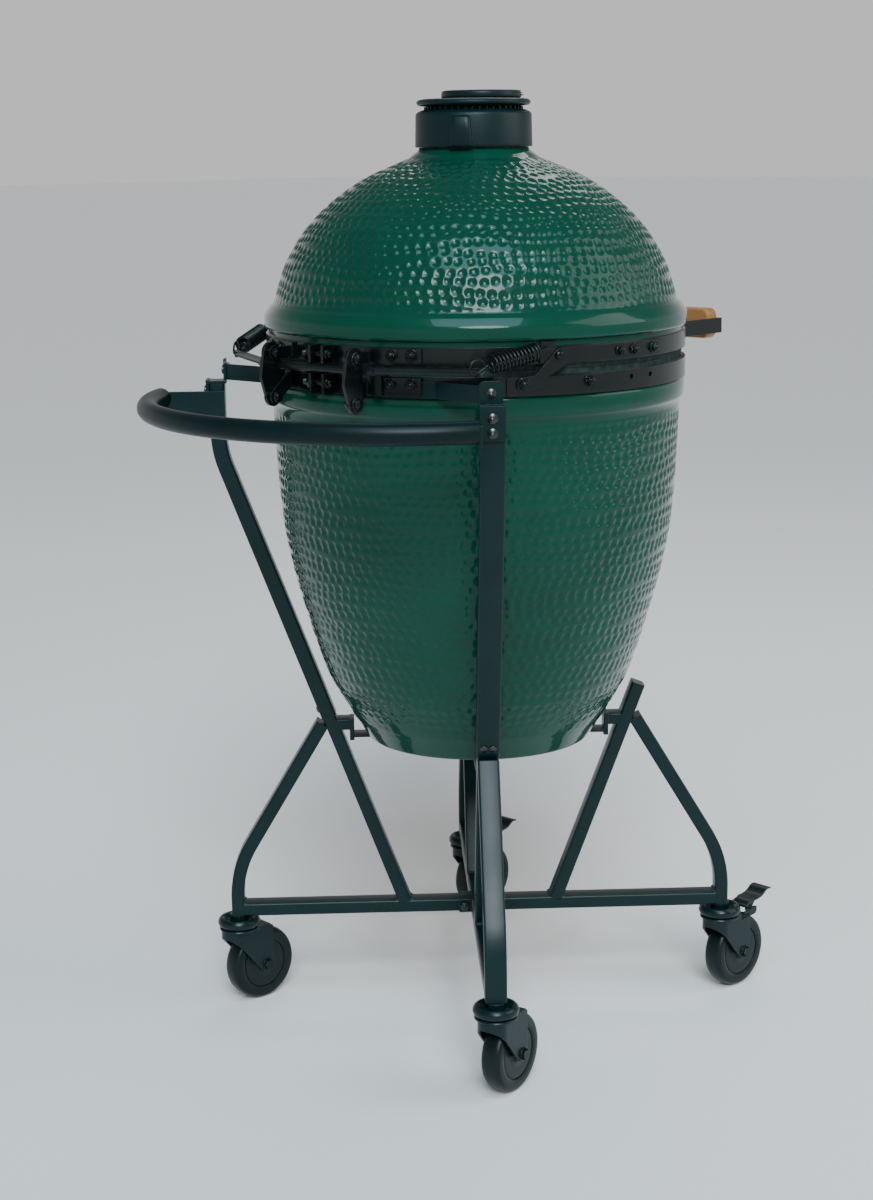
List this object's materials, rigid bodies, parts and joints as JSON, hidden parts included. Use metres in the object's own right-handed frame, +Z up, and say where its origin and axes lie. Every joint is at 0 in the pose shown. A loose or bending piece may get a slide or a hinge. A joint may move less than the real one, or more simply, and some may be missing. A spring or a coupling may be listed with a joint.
{
  "type": "kamado grill",
  "caption": "Egg-shaped ceramic charcoal grill with dimpled green glaze, spring hinge and wood lid handle, in a wheeled tubular steel nest with a rear push handle",
  "frame": {"origin": "centre of the bounding box in plan, on the floor the casters stand on; the egg axis is 58.5 mm towards -Y", "axes": "+Z up, -Y the front with the wood lid handle and draft door, +Y the back with the hinge and push handle, +X to the right seen from the back"},
  "size_m": [0.5632, 0.811, 1.2068],
  "materials": {
    "nest_steel": "semi-gloss dark grey-green powder coat",
    "handle_steel": "satin grey-green powder coat",
    "zinc": "zinc plated",
    "caster_steel": "dark plated steel",
    "wheel_hub": "moulded",
    "wheel_tread": "moulded rubber tread",
    "pedal": "moulded",
    "glaze": "deep green dimpled gloss glaze",
    "fireclay": "unglazed",
    "iron": "bare",
    "vent_iron": "painted dark grey-green",
    "grid_steel": "plated wire",
    "stainless": "brushed",
    "band_steel": "black gloss",
    "felt": "pressed felt",
    "spring_steel": "dark oiled",
    "timber": "oiled"
  },
  "bodies": {
    "nest": {"nest_frame_a": "nest_steel", "nest_frame_b": "nest_steel", "cross_bolts": "zinc", "upright_left": "nest_steel", "upright_right": "nest_steel", "nest_screws": "zinc", "handle_bracket_left": "nest_steel", "handle_bracket_right": "nest_steel", "push_handle": "handle_steel", "strap_left": "nest_steel", "strap_right": "nest_steel", "caster_stems": "caster_steel", "ceramic_base": "glaze", "firebox": "fireclay", "fire_grate": "iron", "fire_ring": "fireclay", "cooking_grid": "grid_steel", "draft_frame": "stainless", "lower_band": "band_steel", "lower_band_bolts": "zinc", "lower_gasket": "felt", "hinge_lower": "band_steel", "hinge_links": "band_steel", "hinge_pins": "zinc", "spring_rods": "spring_steel", "springs": "spring_steel", "side_arm_lower": "band_steel"},
    "lid": {"upper_gasket": "felt", "ceramic_dome": "glaze", "upper_band": "band_steel", "upper_band_bolts": "zinc", "hinge_upper": "band_steel", "side_arm_upper": "band_steel", "handle_strap": "band_steel", "wood_handle": "timber", "thermometer": "stainless", "cap_gasket": "felt", "cap_collar": "vent_iron"},
    "vent_disc": {"cap_disc": "vent_iron"},
    "vent_cover": {"cap_cover": "vent_iron"},
    "draft_door": {"draft_door": "stainless"},
    "draft_screen": {"draft_screen": "stainless"},
    "caster_a": {"fork_a": "caster_steel", "axle_a": "zinc"},
    "wheel_a": {"hub_a": "wheel_hub", "tyre_a": "wheel_tread"},
    "caster_b": {"fork_b": "caster_steel", "axle_b": "zinc"},
    "wheel_b": {"hub_b": "wheel_hub", "tyre_b": "wheel_tread"},
    "caster_c": {"fork_c": "caster_steel", "axle_c": "zinc"},
    "wheel_c": {"hub_c": "wheel_hub", "tyre_c": "wheel_tread"},
    "caster_d": {"fork_d": "caster_steel", "axle_d": "zinc"},
    "wheel_d": {"hub_d": "wheel_hub", "tyre_d": "wheel_tread"},
    "pedal_c": {"brake_pedal_c": "pedal"},
    "pedal_d": {"brake_pedal_d": "pedal"}
  },
  "joints": [
    {"name": "lid_hinge", "type": "hinge", "parent": "nest", "child": "lid", "pos_m": [0, 0.2325, 0.897], "axis": [-1, 0, 0], "range_deg": [0, 70], "deforming": ["springs"]},
    {"name": "vent_disc_swing", "type": "hinge", "parent": "lid", "child": "vent_disc", "pos_m": [0.03784, -0.02066, 1.1876], "axis": [0, 0, 1], "range_deg": [0, 80]},
    {"name": "vent_cover_turn", "type": "hinge", "parent": "vent_disc", "child": "vent_cover", "pos_m": [-0.007, -0.0655, 1.2], "axis": [0, 0, 1], "range_deg": [0, 36]},
    {"name": "draft_door_turn", "type": "hinge", "parent": "nest", "child": "draft_door", "pos_m": [0, -0.0585, 0.442], "axis": [0, 0, 1], "range_deg": [0, 16.4]},
    {"name": "draft_screen_turn", "type": "hinge", "parent": "nest", "child": "draft_screen", "pos_m": [0, -0.0585, 0.442], "axis": [0, 0, 1], "range_deg": [-16.4, 0]},
    {"name": "caster_a_swivel", "type": "hinge", "parent": "nest", "child": "caster_a", "pos_m": [0.23144, 0.17294, 0.105], "axis": [0, 0, 1], "continuous": true},
    {"name": "wheel_a_roll", "type": "hinge", "parent": "caster_a", "child": "wheel_a", "pos_m": [0.22865, 0.14106, 0.05], "axis": [0.9962, -0.0872, 0], "continuous": true},
    {"name": "caster_b_swivel", "type": "hinge", "parent": "nest", "child": "caster_b", "pos_m": [-0.23144, 0.17294, 0.105], "axis": [0, 0, 1], "continuous": true},
    {"name": "wheel_b_roll", "type": "hinge", "parent": "caster_b", "child": "wheel_b", "pos_m": [-0.22588, 0.14142, 0.05], "axis": [0.9848, 0.1736, 0], "continuous": true},
    {"name": "caster_c_swivel", "type": "hinge", "parent": "nest", "child": "caster_c", "pos_m": [-0.23144, -0.28994, 0.105], "axis": [0, 0, 1], "continuous": true},
    {"name": "wheel_c_roll", "type": "hinge", "parent": "caster_c", "child": "wheel_c", "pos_m": [-0.23311, -0.32189, 0.05], "axis": [0.9986, -0.0523, 0], "continuous": true},
    {"name": "brake_pedal_c_press", "type": "hinge", "parent": "caster_c", "child": "pedal_c", "pos_m": [-0.23379, -0.33487, 0.109], "axis": [0.9986, -0.0523, 0], "range_deg": [0, 12]},
    {"name": "caster_d_swivel", "type": "hinge", "parent": "nest", "child": "caster_d", "pos_m": [0.23144, -0.28994, 0.105], "axis": [0, 0, 1], "continuous": true},
    {"name": "wheel_d_roll", "type": "hinge", "parent": "caster_d", "child": "wheel_d", "pos_m": [0.23144, -0.32194, 0.05], "axis": [1, 0, 0], "continuous": true},
    {"name": "brake_pedal_d_press", "type": "hinge", "parent": "caster_d", "child": "pedal_d", "pos_m": [0.23144, -0.33494, 0.109], "axis": [1, 0, 0], "range_deg": [0, 12]}
  ]
}
